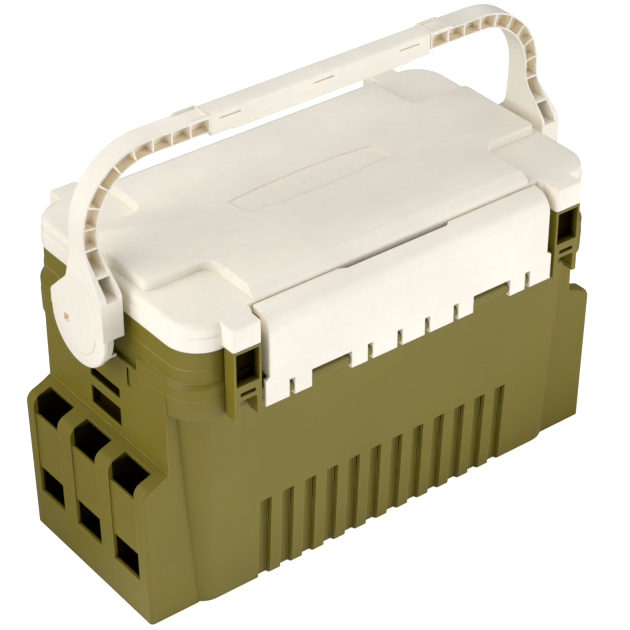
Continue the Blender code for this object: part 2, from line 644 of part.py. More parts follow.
def make_grip():
    half = 0.0090
    upper = [(-half, GRIP_SPLIT + GAP), (half, GRIP_SPLIT + GAP), (half, ARM_TOP, 0.0035), (-half, ARM_TOP, 0.0035)]
    lower = [(-half, GRIP_BOTTOM, 0.0045), (half, GRIP_BOTTOM, 0.0045), (half, GRIP_SPLIT), (-half, GRIP_SPLIT)]
    shells = []
    for name, outline, low, high in (("grip_upper", upper, 0.3500, 0.3592), ("grip_lower", lower, 0.3474, 0.3540)):
        shell = prism(name, outline, "YZ", -GRIP_HALF_X, GRIP_HALF_X, CREAM, steps=3)
        shells.append(cut(shell, block(f"{name}_hollow", (-0.1100, -0.0062, low), (0.1100, 0.0062, high))))
    for side_name, side in SIDES:
        step = [(0.0765, 0.3400), (0.0820, 0.3443), (0.1020, 0.3443), (0.1020, 0.3400)]
        cut(shells[1], prism(f"{side_name}_grip_step", mirror_x(step, side), "XZ", -0.0120, 0.0120))
    return shells


def make_boss(side_name, side):
    """A flanged, grooved boss on the tub's end, which the handle's arm turns on."""
    base, tip = side * 0.1900, side * BOSS_TIP_X
    stations = [(0.0, base), (0.0150, base), (0.0150, side * 0.1928), (BOSS_R, side * 0.1934),
                (BOSS_R, side * 0.2030), (BOSS_R * 0.8, side * 0.2032), (BOSS_R * 0.8, side * 0.2062),
                (BOSS_R, side * 0.2064), (BOSS_R, tip), (0.0, tip)]
    bm = bmesh.new()
    verts = [bm.verts.new((x, 0.0, radius)) for radius, x in stations]
    for a, b in zip(verts, verts[1:]):
        bm.edges.new((a, b))
    mesh = bpy.data.meshes.new(f"{side_name}_pivot_boss")
    bm.to_mesh(mesh)
    bm.free()
    boss = place(f"{side_name}_pivot_boss", mesh, OLIVE)
    boss.location = (0.0, 0.0, PIVOT_Z)
    turned = boss.modifiers.new("turned", "SCREW")
    turned.axis = "X"
    turned.steps = 16
    turned.render_steps = 16
    turned.use_merge_vertices = True
    turned.merge_threshold = 0.0001
    turned.use_normal_calculate = True
    return boss


def make_clip(side_name, side):
    """The half-round clip behind the arm's disc, with a finger that stops the handle's swing."""
    low, high = span(side, 0.2035, 0.2080)
    clip = rod(f"{side_name}_pivot_clip", CLIP_R, (low, 0, PIVOT_Z), (high, 0, PIVOT_Z), 32, CREAM)
    cut(clip, block(f"{side_name}_clip_trim", (low - 0.001, -0.040, PIVOT_Z + 0.0012),
                    (high + 0.001, 0.040, 0.300)))
    x_low, x_high = span(side, 0.1965, 0.2060)
    fuse(clip, block(f"{side_name}_clip_stop", (x_low, *STOP_LOW), (x_high, *STOP_HIGH)))
    bore_low, bore_high = span(side, 0.1900, 0.2100)
    return cut(clip, rod(f"{side_name}_clip_bore", BOSS_R + GAP, (bore_low, 0, PIVOT_Z),
                         (bore_high, 0, PIVOT_Z), 16))


# ---------------------------------------------------------------- inside
def make_tray():
    (low_x, low_y), (top_x, top_y) = TRAY_HALF
    rim_x, rim_y = TRAY_RIM_HALF
    rest = LEDGE + GAP
    tray = loft("lift_out_tray", [(TRAY_FLOOR, low_x, low_y, 0.012), (rest, top_x, top_y, 0.014),
                                  (rest, rim_x, rim_y, 0.0195), (rest + 0.002, rim_x, rim_y, 0.0195),
                                  (rest + 0.002, top_x - TRAY_WALL, top_y - TRAY_WALL, 0.012),
                                  (TRAY_FLOOR + TRAY_WALL, low_x - TRAY_WALL, low_y - TRAY_WALL, 0.010)], SMOKE, steps=3)
    spine = block("tray_spine", (-low_x + 0.001, -0.001, TRAY_FLOOR + 0.001), (low_x - 0.001, 0.001, rest))
    return fuse(tray, spine)


def make_dividers():
    """Removable plates: three across each row of the tray and two in the well below."""
    (_, low_y), _ = TRAY_HALF
    number = 0
    for row in (-1, 1):
        near, far = row * (0.001 + GAP), row * (low_y - TRAY_WALL - GAP)
        for x in DIVIDER_X:
            number += 1
            block(f"tray_divider_{number}", (x - 0.0008, min(near, far), TRAY_FLOOR + TRAY_WALL + GAP),
                  (x + 0.0008, max(near, far), 0.1845), SMOKE)
    for side_name, side in SIDES:
        x = side * PARTITION_X
        block(f"{side_name}_well_partition", (x - 0.001, -0.0761, FLOOR_TOP + GAP), (x + 0.001, 0.0761, 0.1450),
              SMOKE)


def turn_about(name, point, pieces):
    """An empty on a joint's axis, with the pieces that turn about it as its children."""
    axis = bpy.data.objects.new(name, None)
    axis.location = point
    PARTS.objects.link(axis)
    for piece in pieces:
        piece.parent = axis
        piece.matrix_parent_inverse = Matrix.Translation(point).inverted()


def build():
    make_tub()
    make_belt()
    make_hinge_pins()
    handle = make_grip()
    for side_name, side in SIDES:
        make_rack(side_name, side)
        make_boss(side_name, side)
        handle += [make_arm(side_name, side), make_clip(side_name, side)]
        for end_name, facing in ENDS:
            make_socket(end_name, facing, side_name, side)
    make_tray()
    make_dividers()
    turn_about("handle_axis", (0.0, 0.0, PIVOT_Z), handle)
    turn_about("lid_axis", (0.0, *LID_PIN), make_lid())
    turn_about("latch_axis", (0.0, *FLAP_PIN), [make_flap()])


build()
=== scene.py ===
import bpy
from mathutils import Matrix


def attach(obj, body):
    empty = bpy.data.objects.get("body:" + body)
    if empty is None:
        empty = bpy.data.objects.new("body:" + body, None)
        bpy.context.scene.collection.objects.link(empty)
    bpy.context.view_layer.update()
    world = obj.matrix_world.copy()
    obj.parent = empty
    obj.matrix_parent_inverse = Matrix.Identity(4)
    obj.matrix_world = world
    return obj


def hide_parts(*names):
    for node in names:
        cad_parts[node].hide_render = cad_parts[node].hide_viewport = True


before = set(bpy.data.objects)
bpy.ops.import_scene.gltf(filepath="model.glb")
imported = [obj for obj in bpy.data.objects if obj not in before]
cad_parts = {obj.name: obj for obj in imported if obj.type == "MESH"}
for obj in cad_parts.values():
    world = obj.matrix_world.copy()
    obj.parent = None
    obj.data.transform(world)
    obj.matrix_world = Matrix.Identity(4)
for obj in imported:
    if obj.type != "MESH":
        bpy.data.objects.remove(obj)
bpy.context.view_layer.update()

import math

import bmesh
import bpy
from mathutils import Matrix, Vector

SIDES = (("left", -1), ("right", 1))
ENDS = (("front", -1), ("rear", 1))
GAP = 0.0003
WALL = 0.0026


# ---------------------------------------------------------------- mesh helpers
def obj_from(bm, name):
    mesh = bpy.data.meshes.new(name)
    bm.to_mesh(mesh)
    bm.free()
    obj = bpy.data.objects.new(name, mesh)
    bpy.context.scene.collection.objects.link(obj)
    return obj


def outward(bm):
    bmesh.ops.recalc_face_normals(bm, faces=bm.faces)
    if bm.calc_volume(signed=True) < 0:
        bmesh.ops.reverse_faces(bm, faces=bm.faces)


def rounded(corners, step=9.0):
    """Outline points from (u, v, radius) corners, each round corner drawn as an arc."""
    points = []
    count = len(corners)
    for i, (u, v, *radius) in enumerate(corners):
        here = Vector((u, v))
        if not radius or radius[0] <= 0:
            points.append(here)
            continue
        before = (Vector(corners[i - 1][:2]) - here).normalized()
        after = (Vector(corners[(i + 1) % count][:2]) - here).normalized()
        half = before.angle(after) / 2
        centre = here + (before + after).normalized() * (radius[0] / math.sin(half))
        reach = radius[0] / math.tan(half)
        first = here + before * reach - centre
        turn = -first.angle_signed(here + after * reach - centre)
        pieces = max(2, round(math.degrees(abs(turn)) / step))
        for k in range(pieces + 1):
            c, s = math.cos(turn * k / pieces), math.sin(turn * k / pieces)
            points.append(centre + Vector((first.x * c - first.y * s, first.x * s + first.y * c)))
    return points


PLANES = {"XY": lambda u, v, w: (u, v, w), "XZ": lambda u, v, w: (u, w, v), "YZ": lambda u, v, w: (w, u, v)}


def prism_bm(corners, plane, low, high, step=9.0):
    bm = bmesh.new()
    points = rounded(corners, step)
    put = PLANES[plane]
    loops = [[bm.verts.new(put(p.x, p.y, w)) for p in points] for w in (low, high)]
    for i in range(len(points)):
        j = (i + 1) % len(points)
        bm.faces.new((loops[0][i], loops[0][j], loops[1][j], loops[1][i]))
    bm.faces.new(loops[0])
    bm.faces.new(loops[1])
    outward(bm)
    return bm


def prism(corners, plane, low, high, name="form", step=9.0):
    return obj_from(prism_bm(corners, plane, low, high, step), name)


def block(low, high, name="form"):
    low, high = [min(a, b) for a, b in zip(low, high)], [max(a, b) for a, b in zip(low, high)]
    corners = [(low[0], low[1]), (high[0], low[1]), (high[0], high[1]), (low[0], high[1])]
    return prism(corners, "XY", low[2], high[2], name)


def loft(rings, name="form", step=9.0):
    """A skin through rounded rectangles (z, half x, half y, radius), closed at its first and last."""
    bm = bmesh.new()
    loops = []
    for z, hx, hy, r in rings:
        points = rounded([(hx, -hy, r), (hx, hy, r), (-hx, hy, r), (-hx, -hy, r)], step)
        loops.append([bm.verts.new((p.x, p.y, z)) for p in points])
    for lower, upper in zip(loops, loops[1:]):
        for i in range(len(lower)):
            j = (i + 1) % len(lower)
            bm.faces.new((lower[i], lower[j], upper[j], upper[i]))
    bm.faces.new(loops[0])
    bm.faces.new(loops[-1])
    outward(bm)
    return obj_from(bm, name)


def rod(radius, start, end, name="form", segments=24):
    start, end = Vector(start), Vector(end)
    bm = bmesh.new()
    bmesh.ops.create_cone(bm, cap_ends=True, segments=segments, radius1=radius, radius2=radius,
                          depth=(end - start).length)
    bm.transform(Vector((0, 0, 1)).rotation_difference(end - start).to_matrix().to_4x4())
    bm.transform(Matrix.Translation((start + end) / 2))
    return obj_from(bm, name)


def turned(stations, name="form", segments=48):
    """A closed profile of (radius, x) turned about the X axis through the origin."""
    bm = bmesh.new()
    angles = [2 * math.pi * k / segments for k in range(segments)]
    rings = []
    for radius, x in stations:
        if radius < 1e-6:
            rings.append([bm.verts.new((x, 0, 0))] * segments)
        else:
            rings.append([bm.verts.new((x, radius * math.cos(a), radius * math.sin(a))) for a in angles])
    for a, b in zip(rings, rings[1:]):
        for k in range(segments):
            n = (k + 1) % segments
            face = list(dict.fromkeys((a[k], a[n], b[n], b[k])))
            if len(face) > 2:
                bm.faces.new(face)
    outward(bm)
    return obj_from(bm, name)


def joined(objs, name="form"):
    """One object from several that don't touch each other."""
    bm = bmesh.new()
    for obj in objs:
        bm.from_mesh(obj.data)
        bpy.data.objects.remove(obj, do_unlink=True)
    return obj_from(bm, name)


def shaped(obj, *steps, self_cross=False):
    """Applies boolean steps (operation, tools) to an object's mesh, in order."""
    tools = []
    for operation, made in steps:
        for tool in (made if isinstance(made, (list, tuple)) else [made]):
            tools.append(tool)
            change = obj.modifiers.new(operation, "BOOLEAN")
            change.operation = operation
            change.solver = "EXACT"
            change.use_self = self_cross
            change.object = tool
    graph = bpy.context.evaluated_depsgraph_get()
    mesh = bpy.data.meshes.new_from_object(obj.evaluated_get(graph))
    obj.modifiers.clear()
    old, obj.data = obj.data, mesh
    bpy.data.meshes.remove(old)
    for tool in tools:
        bpy.data.objects.remove(tool, do_unlink=True)
    bm = bmesh.new()
    bm.from_mesh(mesh)
    bmesh.ops.remove_doubles(bm, verts=bm.verts, dist=1.5e-5)
    bmesh.ops.dissolve_limit(bm, angle_limit=math.radians(0.4), verts=bm.verts, edges=bm.edges)
    bm.to_mesh(mesh)
    bm.free()
    return obj


def round_edges(obj, width, pick, segments=4, sharper_than=20):
    """Rounds the edges whose middle and direction the pick function accepts."""
    bm = bmesh.new()
    bm.from_mesh(obj.data)
    chosen = []
    for edge in bm.edges:
        if len(edge.link_faces) == 2 and math.degrees(edge.calc_face_angle(0)) > sharper_than:
            a, b = edge.verts[0].co, edge.verts[1].co
            if pick((a + b) / 2, (b - a).normalized()):
                chosen.append(edge)
    bmesh.ops.bevel(bm, geom=chosen, offset=width, offset_type="OFFSET", segments=segments, profile=0.5,
                    affect="EDGES", clamp_overlap=True)
    bmesh.ops.remove_doubles(bm, verts=bm.verts, dist=1e-5)
    outward(bm)
    bm.to_mesh(obj.data)
    bm.free()
    return obj


def mirrored(obj, name):
    bm = bmesh.new()
    bm.from_mesh(obj.data)
    bm.transform(Matrix.Scale(-1, 4, (1, 0, 0)))
    bmesh.ops.reverse_faces(bm, faces=bm.faces)
    return obj_from(bm, name)


def finish_piece(obj, nodes, body, mat, edge=0.0005, segments=3, angle=32, clamp=True):
    """Softens the edges, shades, dresses and places a piece that stands for one or more CAD nodes."""
    nodes = [nodes] if isinstance(nodes, str) else nodes
    obj.name = obj.data.name = nodes[0] + "_look"
    for face in obj.data.polygons:
        face.use_smooth = True
    obj.data.materials.clear()
    obj.data.materials.append(mat)
    if edge:
        soft = obj.modifiers.new("soft_edges", "BEVEL")
        soft.width = edge
        soft.segments = segments
        soft.limit_method = "ANGLE"
        soft.angle_limit = math.radians(angle)
        soft.use_clamp_overlap = clamp
        soft.harden_normals = True
        soft.miter_outer = "MITER_ARC"
    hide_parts(*nodes)
    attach(obj, body)
    return obj


# ---------------------------------------------------------------- materials
def plastic(name, base, painted_cavity_light, wear_and_highlight, roughness, grain, painted_cavity_reach=0.010, painted_cavity_share=0.6,
            painted_cavity_open=0.80, specular=0.4, pockets=(), dark=(0, 0, 0)):
    """Moulded plastic: mottled colour, painted shade in corners and hollows (a warm painted bounce light
    where the hollow colour is lighter), painted dark shade in deep pockets, lighter edges that are partly
    wear and partly painted highlight, fine mould grain. Along a pocket's axis the painted shade falls to
    dark, as light does in a deep hollow."""
    mat = bpy.data.materials.new(name)
    mat.use_nodes = True
    tree = mat.node_tree
    shader = tree.nodes["Principled BSDF"]
    link = tree.links.new

    def node(kind, **values):
        made = tree.nodes.new(kind)
        for key, value in values.items():
            if key in made.inputs:
                made.inputs[key].default_value = value
            else:
                setattr(made, key, value)
        return made

    def noise(scale, detail=3.0):
        made = node("ShaderNodeTexNoise", Scale=scale, Detail=detail)
        link(place.outputs["Object"], made.inputs["Vector"])
        return made.outputs["Fac"]

    def mixed(fac, a, b):
        made = tree.nodes.new("ShaderNodeMix")
        made.data_type = "RGBA"
        link(fac, made.inputs[0])
        for socket, value in ((made.inputs[6], a), (made.inputs[7], b)):
            if isinstance(value, tuple):
                socket.default_value = (*value, 1.0)
            else:
                link(value, socket)
        return made.outputs[2]

    def ranged(value, low, high, out_low, out_high):
        made = node("ShaderNodeMapRange")
        made.clamp = True
        link(value, made.inputs["Value"])
        for key, number in (("From Min", low), ("From Max", high), ("To Min", out_low), ("To Max", out_high)):
            made.inputs[key].default_value = number
        return made.outputs["Result"]

    def maths(operation, a, b, third=None):
        made = node("ShaderNodeMath", operation=operation)
        for socket, value in zip(made.inputs, (a, b, third)):
            if isinstance(value, float):
                socket.default_value = value
            elif value is not None:
                link(value, socket)
        return made.outputs[0]

    place = node("ShaderNodeTexCoord")
    split = node("ShaderNodeSeparateXYZ")
    link(place.outputs["Object"], split.inputs[0])
    axes = [maths("ABSOLUTE", split.outputs[k], None) for k in (0, 1)] + [split.outputs[2]]

    def pocket_shade_mask(low, high, axis, open_at, dark_at):
        mask = ranged(axes[axis], open_at, dark_at, 0.0, 1.0)
        for value, a, b in zip(axes, low, high):
            mask = maths("MULTIPLY", mask, maths("COMPARE", value, (a + b) / 2, (b - a) / 2))
        return mask

    def shade(share):
        return tuple(c * share for c in base)

    shader.inputs["Specular IOR Level"].default_value = specular
    shine = None
    tint = mixed(ranged(noise(11.0), 0.35, 0.65, 0.0, 1.0), shade(0.955), shade(1.035))
    tint = mixed(ranged(noise(160.0), 0.4, 0.62, 0.0, 0.22), tint, shade(0.90))
    # Painted shade in corners and hollows: where ambient occlusion finds near surfaces, the colour moves to
    # the hollow colour; on the cream that colour is a warm painted bounce light.
    reach = node("ShaderNodeAmbientOcclusion", Distance=painted_cavity_reach, samples=6)
    tint = mixed(ranged(reach.outputs["AO"], 0.15, painted_cavity_open, painted_cavity_share, 0.0), tint, painted_cavity_light)
    # Lighter edges: partly wear, partly a painted highlight along every rounded edge, where light would catch
    # it.
    edge_bevel = node("ShaderNodeBevel", Radius=0.0009, samples=4)
    flat = node("ShaderNodeNewGeometry")
    turn = node("ShaderNodeVectorMath", operation="DOT_PRODUCT")
    link(edge_bevel.outputs["Normal"], turn.inputs[0])
    link(flat.outputs["Normal"], turn.inputs[1])
    edge_wear_and_highlight = ranged(turn.outputs["Value"], 0.985, 0.88, 0.0, 1.0)
    patchy = node("ShaderNodeMath", operation="MULTIPLY")
    link(edge_wear_and_highlight, patchy.inputs[0])
    link(ranged(noise(70.0), 0.35, 0.6, 0.55, 0.95), patchy.inputs[1])
    tint = mixed(patchy.outputs[0], tint, wear_and_highlight)
    # Painted shade: each deep pocket turns to the dark colour along its axis and loses its shine.
    for mask in [pocket_shade_mask(*pocket) for pocket in pockets]:
        tint = mixed(mask, tint, dark)
        shine = maths("MULTIPLY", shine or specular, maths("SUBTRACT", 1.0, mask))
    if shine:
        link(shine, shader.inputs["Specular IOR Level"])
    link(tint, shader.inputs["Base Color"])

    rough = ranged(noise(45.0, 5.0), 0.3, 0.7, roughness - 0.05, roughness + 0.07)
    link(rough, shader.inputs["Roughness"])
    pores = node("ShaderNodeBump", Strength=grain, Distance=0.00012)
    link(noise(2600.0, 2.0), pores.inputs["Height"])
    wave = node("ShaderNodeBump", Strength=0.10, Distance=0.0006)
    link(noise(22.0, 1.0), wave.inputs["Height"])
    link(edge_bevel.outputs["Normal"], wave.inputs["Normal"])
    link(wave.outputs["Normal"], pores.inputs["Normal"])
    link(pores.outputs["Normal"], shader.inputs["Normal"])
    return mat


# The deep pockets that get a painted dark shade, as (box low, box high, axis, open at, dark at) on mirrored x
# and y.
BAYS = [((0.1800, low, -0.001), (0.2129, high, 0.1312), 2, 0.1305, 0.1235)
        for low, high in ((-0.001, 0.0170), (0.0335, 0.0675))]
STRAPS = [((0.1860, -0.001, low), (0.1936, 0.0197, high), 0, 0.1934, 0.1918)
          for low, high in ((0.1388, 0.1562), (0.1638, 0.1737))]
SOCKETS = [((0.1390, 0.1060, 0.2140), (0.1596, 0.1162, 0.2418), 1, 0.1160, 0.1100)]
# The second colour of each finish is painted shade in hollows (on the cream a lighter, warm painted bounce
# light); the third is the edge colour, partly wear and partly painted highlight; the pocket colour is painted
# shade.
OLIVE = plastic("olive_moulded", (0.172, 0.139, 0.007), (0.032, 0.023, 0.002), (0.42, 0.38, 0.09), 0.44, 0.16,
                painted_cavity_reach=0.006, painted_cavity_share=0.65, specular=0.36, pockets=BAYS + STRAPS + SOCKETS,
                dark=(0.012, 0.008, 0.001))
CREAM = plastic("cream_moulded", (0.880, 0.840, 0.750), (1.0, 0.86, 0.60), (0.94, 0.91, 0.85), 0.38, 0.10,
                painted_cavity_reach=0.011, painted_cavity_share=0.95, painted_cavity_open=0.55)
SMOKE = plastic("tray_moulded", (0.42, 0.42, 0.37), (0.20, 0.20, 0.17), (0.55, 0.55, 0.50), 0.34, 0.12)


def steel():
    """Drawn steel rod: fine lines along its length."""
    mat = bpy.data.materials.new("drawn_steel")
    mat.use_nodes = True
    tree = mat.node_tree
    shader = tree.nodes["Principled BSDF"]
    place = tree.nodes.new("ShaderNodeTexCoord")
    squeeze = tree.nodes.new("ShaderNodeMapping")
    squeeze.inputs["Scale"].default_value = (6.0, 900.0, 900.0)
    lines = tree.nodes.new("ShaderNodeTexNoise")
    lines.inputs["Scale"].default_value = 1.0
    spread = tree.nodes.new("ShaderNodeMapRange")
    spread.inputs["To Min"].default_value = 0.22
    spread.inputs["To Max"].default_value = 0.42
    bump = tree.nodes.new("ShaderNodeBump")
    bump.inputs["Strength"].default_value = 0.2
    bump.inputs["Distance"].default_value = 0.0001
    for a, b in ((place.outputs["Object"], squeeze.inputs["Vector"]),
                 (squeeze.outputs["Vector"], lines.inputs["Vector"]),
                 (lines.outputs["Fac"], spread.inputs["Value"]),
                 (spread.outputs["Result"], shader.inputs["Roughness"]),
                 (lines.outputs["Fac"], bump.inputs["Height"]),
                 (bump.outputs["Normal"], shader.inputs["Normal"])):
        tree.links.new(a, b)
    shader.inputs["Base Color"].default_value = (0.62, 0.61, 0.58, 1.0)
    shader.inputs["Metallic"].default_value = 1.0
    return mat


STEEL = steel()


def dress_nodes(mat, *names):
    """Gives CAD nodes that keep their shape a better material."""
    for name in names:
        for material_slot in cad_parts[name].material_slots:
            material_slot.material = mat


dress_nodes(STEEL, "front_hinge_pin", "rear_hinge_pin")
dress_nodes(SMOKE, "lift_out_tray", "left_well_partition", "right_well_partition",
            *[f"tray_divider_{i}" for i in range(1, 7)])
dress_nodes(OLIVE, "left_pivot_boss", "right_pivot_boss")

# ---------------------------------------------------------------- tub
BODY_LOW, BODY_HIGH = (0.002, 0.1787, 0.0845), (0.185, 0.1860, 0.0935)    # height, half x, half y
FOOT_ROUND = 0.0026
GROOVES = 12
GROOVE_PITCH = 0.02095
FLAP_PIN = (-0.1105, 0.1925)
FLAP_HALF_X = 0.1342
KNUCKLES = [(side * x, 0.0049) for side in (-1, 1) for x in (0.0130, 0.0405, 0.1110)]
KNUCKLES += [(side * 0.0755, 0.0362) for side in (-1, 1)]
KNUCKLE_R = 0.0046
LID_PIN = (0.1130, 0.2435)
LID_KNUCKLES = [-0.093, -0.031, 0.031, 0.093]
LID_KNUCKLE_WIDTH = 0.030
LID_KNUCKLE_R = 0.0034
PIN_BORE_R = 0.0019
PIN_BORE_END = 0.1346
ROD_SLOT_Y = (0.0300, 0.0350)            # narrow slots in the end walls, beside each handle disc


def body_half(z, axis):
    """Half the tub's length (axis 1) or depth (axis 2) at a height."""
    rise = (z - BODY_LOW[0]) / (BODY_HIGH[0] - BODY_LOW[0])
    return BODY_LOW[axis] + (BODY_HIGH[axis] - BODY_LOW[axis]) * rise


def tub_shell():
    """Foot, wall, belt and rim outside, then the rim, wall and floor inside."""
    outside = []
    for k in range(5):
        turn = math.pi / 2 * k / 4
        inset = FOOT_ROUND * (1 - math.sin(turn)) + 0.0001
        outside.append((FOOT_ROUND * (1 - math.cos(turn)), body_half(FOOT_ROUND, 1) - inset,
                        body_half(FOOT_ROUND, 2) - inset, 0.0200 - inset))
    wall = [(0.0848, body_half(0.0848, 1), body_half(0.0848, 2), 0.0209), (0.1850, 0.1860, 0.0935, 0.0220)]
    belt = [(0.1850, 0.1925, 0.1032, 0.0282), (0.1852, 0.1929, 0.1036, 0.0286),
            (0.1858, 0.1932, 0.1039, 0.0289), (0.2017, 0.1935, 0.1042, 0.0290),
            (0.2022, 0.1932, 0.1039, 0.0289), (0.2112, 0.1933, 0.1040, 0.0289)]
    shoulder = [(0.2126, 0.1928, 0.1036, 0.0287), (0.2138, 0.1912, 0.1026, 0.0278),
                (0.2150, 0.1899, 0.1016, 0.0265), (0.2258, 0.1896, 0.1014, 0.0263),
                (0.2262, 0.1892, 0.1012, 0.0262), (0.2410, 0.1889, 0.1009, 0.0260)]
    rim = [(0.2410, 0.1862, 0.1002, 0.0245), (0.2463, 0.1862, 0.1002, 0.0245),
           (0.2470, 0.1856, 0.0996, 0.0239)]
    inside = [(0.2470, 0.1838, 0.0972, 0.0217), (0.2464, 0.1834, 0.0967, 0.0213),
              (0.1880, 0.1836, 0.0970, 0.0215), (0.1880, 0.1830, 0.0905, 0.0195),
              (0.0060, 0.1757, 0.0815, 0.0170), (0.0038, 0.1747, 0.0805, 0.0160),
              (0.0030, 0.1727, 0.0785, 0.0140)]
    return loft(outside + wall + belt + shoulder + rim + inside, "tub_form", 6.0)


def groove_form(middle, facing):
    """One upright groove near the foot, with sloping sides and a floor that leans less than the wall."""
    groove = bmesh.new()
    rings = []
    for z in (-0.001, 0.0772):
        floor = 0.0800 + 0.0022 * (z / 0.078)
        wall = body_half(z, 2)
        shape = [(-0.0043, floor), (0.0043, floor), (0.0058, wall), (0.0064, wall + 0.006),
                 (-0.0064, wall + 0.006), (-0.0058, wall)]
        rings.append([groove.verts.new((middle + x, facing * y, z)) for x, y in shape])
    for a in range(6):
        b = (a + 1) % 6
        groove.faces.new((rings[0][a], rings[0][b], rings[1][b], rings[1][a]))
    groove.faces.new(rings[0])
    groove.faces.new(rings[1])
    outward(groove)
    return obj_from(groove, "groove")


def front_knuckles():
    y, z = FLAP_PIN
    reach, turn = KNUCKLE_R, KNUCKLE_R - 1e-4
    outline = [(-0.1025, z - reach), (-0.1025, 0.2000), (-0.1062, 0.1985, 0.0008),
               (y - reach, z + reach, turn), (y - reach, z - reach, turn)]
    made = []
    for middle, width in KNUCKLES:
        half = width / 2 - GAP
        made.append(prism(outline, "YZ", middle - half, middle + half))
    return made


def rear_knuckles():
    """The tub's knuckles fill the spans between the lid's."""
    y, z = LID_PIN
    r = LID_KNUCKLE_R
    edges = [-FLAP_HALF_X]
    for middle in LID_KNUCKLES:
        edges += [middle - LID_KNUCKLE_WIDTH / 2 - GAP, middle + LID_KNUCKLE_WIDTH / 2 + GAP]
    edges.append(FLAP_HALF_X)
    outline = [(0.1025, 0.2035), (y + r, 0.2130, 0.003), (y + r, z + r, r - 1e-4), (y - r, z + r, r - 1e-4),
               (y - r, 0.2185, 0.002), (0.1025, 0.2115)]
    return [prism(outline, "YZ", low, high) for low, high in zip(edges[0::2], edges[1::2])]


def pin_bore(pin):
    return rod(PIN_BORE_R, (-PIN_BORE_END, *pin), (PIN_BORE_END, *pin))


def make_tub():
    tub = tub_shell()
    extras, grooves = [], []
    half_span = GROOVE_PITCH * (GROOVES - 1) / 2
    for _, facing in ENDS:
        extras.append(block((-half_span - 0.009, facing * 0.0765, 0.0012),
                            (half_span + 0.009, facing * 0.0832, 0.082)))
        for i in range(GROOVES):
            grooves.append(groove_form(-half_span + GROOVE_PITCH * i, facing))
    extras += front_knuckles() + rear_knuckles()
    cuts = [pin_bore(FLAP_PIN), pin_bore(LID_PIN)]
    for _, side in SIDES:
        near, far = side * 0.1899, side * 0.1965
        belt_break = [(near, -0.0425, 0.002), (far, -0.0425), (far, 0.0425), (near, 0.0425, 0.002)]
        cuts.append(prism(belt_break, "XY", 0.2022, 0.2175))
        for face in (-1, 1):
            cuts.append(block((side * 0.1921, face * ROD_SLOT_Y[0], 0.1832),
                              (side * 0.1960, face * ROD_SLOT_Y[1], 0.1990)))
    shaped(tub, ("UNION", joined(extras)), ("DIFFERENCE", joined(grooves)), ("DIFFERENCE", joined(cuts)))
    return finish_piece(tub, ["tub", "tub_belt"], "tub", OLIVE, edge=0.0006)


# ---------------------------------------------------------------- end racks
RACK_HALF_Y = 0.0787
RACK_WEB_Y = 0.0757                      # inner face of the two side webs
RACK_TOP = 0.1852
RACK_SEAT = -0.0009                      # how far the rack sits into the tub's end wall
BAY_PITCH = 0.0505
BAY_HALF = 0.01675
BAY_ROOF = 0.1262
PANEL_Z = (0.0357, 0.1105)
STRAP_SLOTS = ((0.139, 0.156), (0.164, 0.1735))
STRAP_HALF_Y = 0.0195


def rack_body():
    wall = 0.1938
    outline = [(body_half(0, 1) - 0.0069, 0.0), (0.2148, 0.0), (0.21713, 0.1235, 0.010), (wall, 0.1317),
               (wall, 0.2018), (0.1905, 0.2018), (0.1905, RACK_TOP),
               (body_half(RACK_TOP, 1) - 0.0014, RACK_TOP)]
    rack = prism(outline, "XZ", -RACK_HALF_Y, RACK_HALF_Y, "rack_form", 7.0)

    def side_edge(m, d):
        on_side = abs(abs(m.y) - RACK_HALF_Y) < 1e-4 and abs(d.y) < 0.5
        return on_side and m.x > 0.1945 and m.z > 1e-4

    return round_edges(rack, 0.0030, side_edge, 5)


def between_webs():
    """The space behind the rack, so that only its side webs reach back to the tub's round corners."""
    low_z, high_z = -0.001, RACK_TOP + 0.001
    outline = [(body_half(low_z, 1) - 0.0120, low_z), (body_half(low_z, 1) + RACK_SEAT, low_z),
               (body_half(high_z, 1) + RACK_SEAT, high_z), (body_half(high_z, 1) - 0.0120, high_z)]
    return prism(outline, "XZ", -RACK_WEB_Y, RACK_WEB_Y)


def bay_shaft(low, high):
    """A bay's hollow, with a rounded roof and a rounded lip at its mouth."""
    lip = 0.1095
    outline = [(body_half(0, 1) + 0.0025, -0.001), (0.2105, -0.001), (0.2126, lip), (0.2200, lip),
               (0.2200, 0.1400), (0.2000, 0.1400), (0.2000, BAY_ROOF),
               (body_half(BAY_ROOF, 1) + 0.0025, BAY_ROOF)]
    shaft = prism(outline, "XZ", low, high)

    def mouth_corner(m, d):
        return abs(m.x - 0.2) < 1e-4 and m.z > BAY_ROOF and abs(d.z) > 0.9

    def lip_corner(m, d):
        return abs(m.z - lip) < 1e-4 and m.x > 0.212 and abs(d.x) > 0.9

    round_edges(shaft, 0.0035, mouth_corner, 5)
    return round_edges(shaft, 0.0020, lip_corner, 3)


